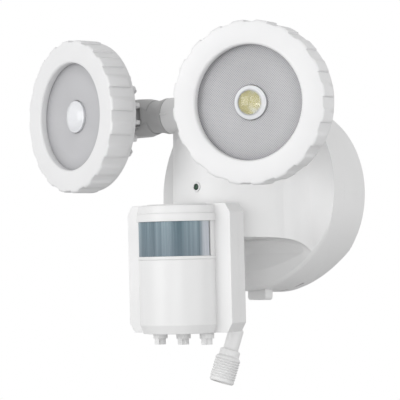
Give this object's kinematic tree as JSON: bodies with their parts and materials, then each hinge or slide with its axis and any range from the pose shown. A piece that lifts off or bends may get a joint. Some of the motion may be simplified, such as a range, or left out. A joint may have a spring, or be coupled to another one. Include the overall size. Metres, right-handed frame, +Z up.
{
  "type": "motion sensor security light",
  "caption": "Wall-mounted outdoor security light with two tilting, panning lamp heads on short arms, and a motion sensor that pans and tilts under a round housing.",
  "frame": {"origin": "centre of the round back, on the wall face", "axes": "+Y into the wall, -Y out of the front, +Z up, +X to the right of someone facing the light"},
  "size_m": [0.2604, 0.1638, 0.2391],
  "materials": {
    "white_plastic": "satin moulded white",
    "arm_plastic": "satin moulded white",
    "head_plastic": "satin moulded white",
    "sensor_plastic": "satin moulded white",
    "trim_plastic": "satin moulded white",
    "lead_plastic": "soft white PVC",
    "dark_plastic": "matt black",
    "reflector": "metallised, finely textured",
    "clear_lens": "clear polished",
    "phosphor": "yellow phosphor",
    "led_board": "white solder mask",
    "circuit_board": "green solder mask",
    "sensor_window": "translucent sheet over a dark inside",
    "indicator_green": "dark green",
    "cell_wrap": "plain blue wrap",
    "steel": "zinc plated",
    "brass": "plain",
    "seal": "matt"
  },
  "bodies": {
    "housing": {"rear_case": "white_plastic", "wall_seal": "seal", "rim_seal": "seal", "front_cover": "white_plastic", "arm_hub": "white_plastic", "case_screws": "steel", "hub_screws": "steel", "battery_tray": "dark_plastic", "battery_cells": "cell_wrap", "battery_contacts": "steel", "main_board": "circuit_board", "board_screws": "steel", "indicator_lens": "indicator_green", "indicator_bezel": "trim_plastic", "switch_body": "dark_plastic", "lead_gland": "lead_plastic", "solar_lead": "lead_plastic", "plug_boot": "lead_plastic", "plug_body": "lead_plastic", "plug_pins": "brass", "plug_seal": "seal"},
    "button": {"push_button": "trim_plastic"},
    "left_arm": {"left_arm": "arm_plastic", "left_arm_retainer": "steel", "left_pan_pin": "steel"},
    "left_head": {"left_head_cup": "head_plastic", "left_led_board": "led_board", "left_led_chip": "phosphor", "left_led_lens": "clear_lens", "left_reflector": "reflector", "left_ring_seal": "seal", "left_bezel_ring": "head_plastic"},
    "right_arm": {"right_arm": "arm_plastic", "right_arm_retainer": "steel", "right_pan_pin": "steel"},
    "right_head": {"right_head_cup": "head_plastic", "right_led_board": "led_board", "right_led_chip": "phosphor", "right_led_lens": "clear_lens", "right_reflector": "reflector", "right_ring_seal": "seal", "right_bezel_ring": "head_plastic"},
    "swivel": {"sensor_swivel": "sensor_plastic", "swivel_retainer": "steel"},
    "sensor": {"tilt_pin": "steel", "sensor_front_shell": "sensor_plastic", "sensor_rear_shell": "sensor_plastic", "sensor_window": "sensor_window", "sensor_board": "circuit_board", "heat_sensor": "steel", "dial_trimmers": "dark_plastic", "sensor_screws": "steel"},
    "range_dial": {"range_dial": "trim_plastic"},
    "time_dial": {"time_dial": "trim_plastic"},
    "dusk_dial": {"dusk_dial": "trim_plastic"}
  },
  "joints": [
    {"name": "button_press", "type": "slide", "parent": "housing", "child": "button", "axis": [0, 0, 1], "range_m": [0, 0.0018], "stiffness_N_per_m": 400},
    {"name": "left_arm_tilt", "type": "hinge", "parent": "housing", "child": "left_arm", "pos_m": [-0.0325, -0.093, 0.0534], "axis": [1, 0, 0], "range_deg": [-50, 28]},
    {"name": "left_head_pan", "type": "hinge", "parent": "left_arm", "child": "left_head", "pos_m": [-0.0648, -0.093, 0.0534], "axis": [0, -0.0366, 0.9993], "range_deg": [-43, 20]},
    {"name": "right_arm_tilt", "type": "hinge", "parent": "housing", "child": "right_arm", "pos_m": [0.0325, -0.093, 0.0534], "axis": [1, 0, 0], "range_deg": [-50, 28]},
    {"name": "right_head_pan", "type": "hinge", "parent": "right_arm", "child": "right_head", "pos_m": [0.0648, -0.093, 0.0534], "axis": [0, -0.0732, 0.9973], "range_deg": [-20, 43]},
    {"name": "sensor_pan", "type": "hinge", "parent": "housing", "child": "swivel", "pos_m": [0, -0.082, -0.0457], "axis": [0, 0, 1], "range_deg": [-45, 23]},
    {"name": "sensor_tilt", "type": "hinge", "parent": "swivel", "child": "sensor", "pos_m": [0.00191, -0.09182, -0.0457], "axis": [0.9816, 0.1908, 0], "range_deg": [-2.7, 40]},
    {"name": "range_dial_turn", "type": "hinge", "parent": "sensor", "child": "range_dial", "pos_m": [-0.01205, -0.12745, -0.09718], "axis": [0.009, -0.0462, 0.9989], "range_deg": [-135, 135]},
    {"name": "time_dial_turn", "type": "hinge", "parent": "sensor", "child": "time_dial", "pos_m": [0.00562, -0.12401, -0.09718], "axis": [0.009, -0.0462, 0.9989], "range_deg": [-135, 135]},
    {"name": "dusk_dial_turn", "type": "hinge", "parent": "sensor", "child": "dusk_dial", "pos_m": [0.02329, -0.12058, -0.09718], "axis": [0.009, -0.0462, 0.9989], "range_deg": [-135, 135]}
  ]
}
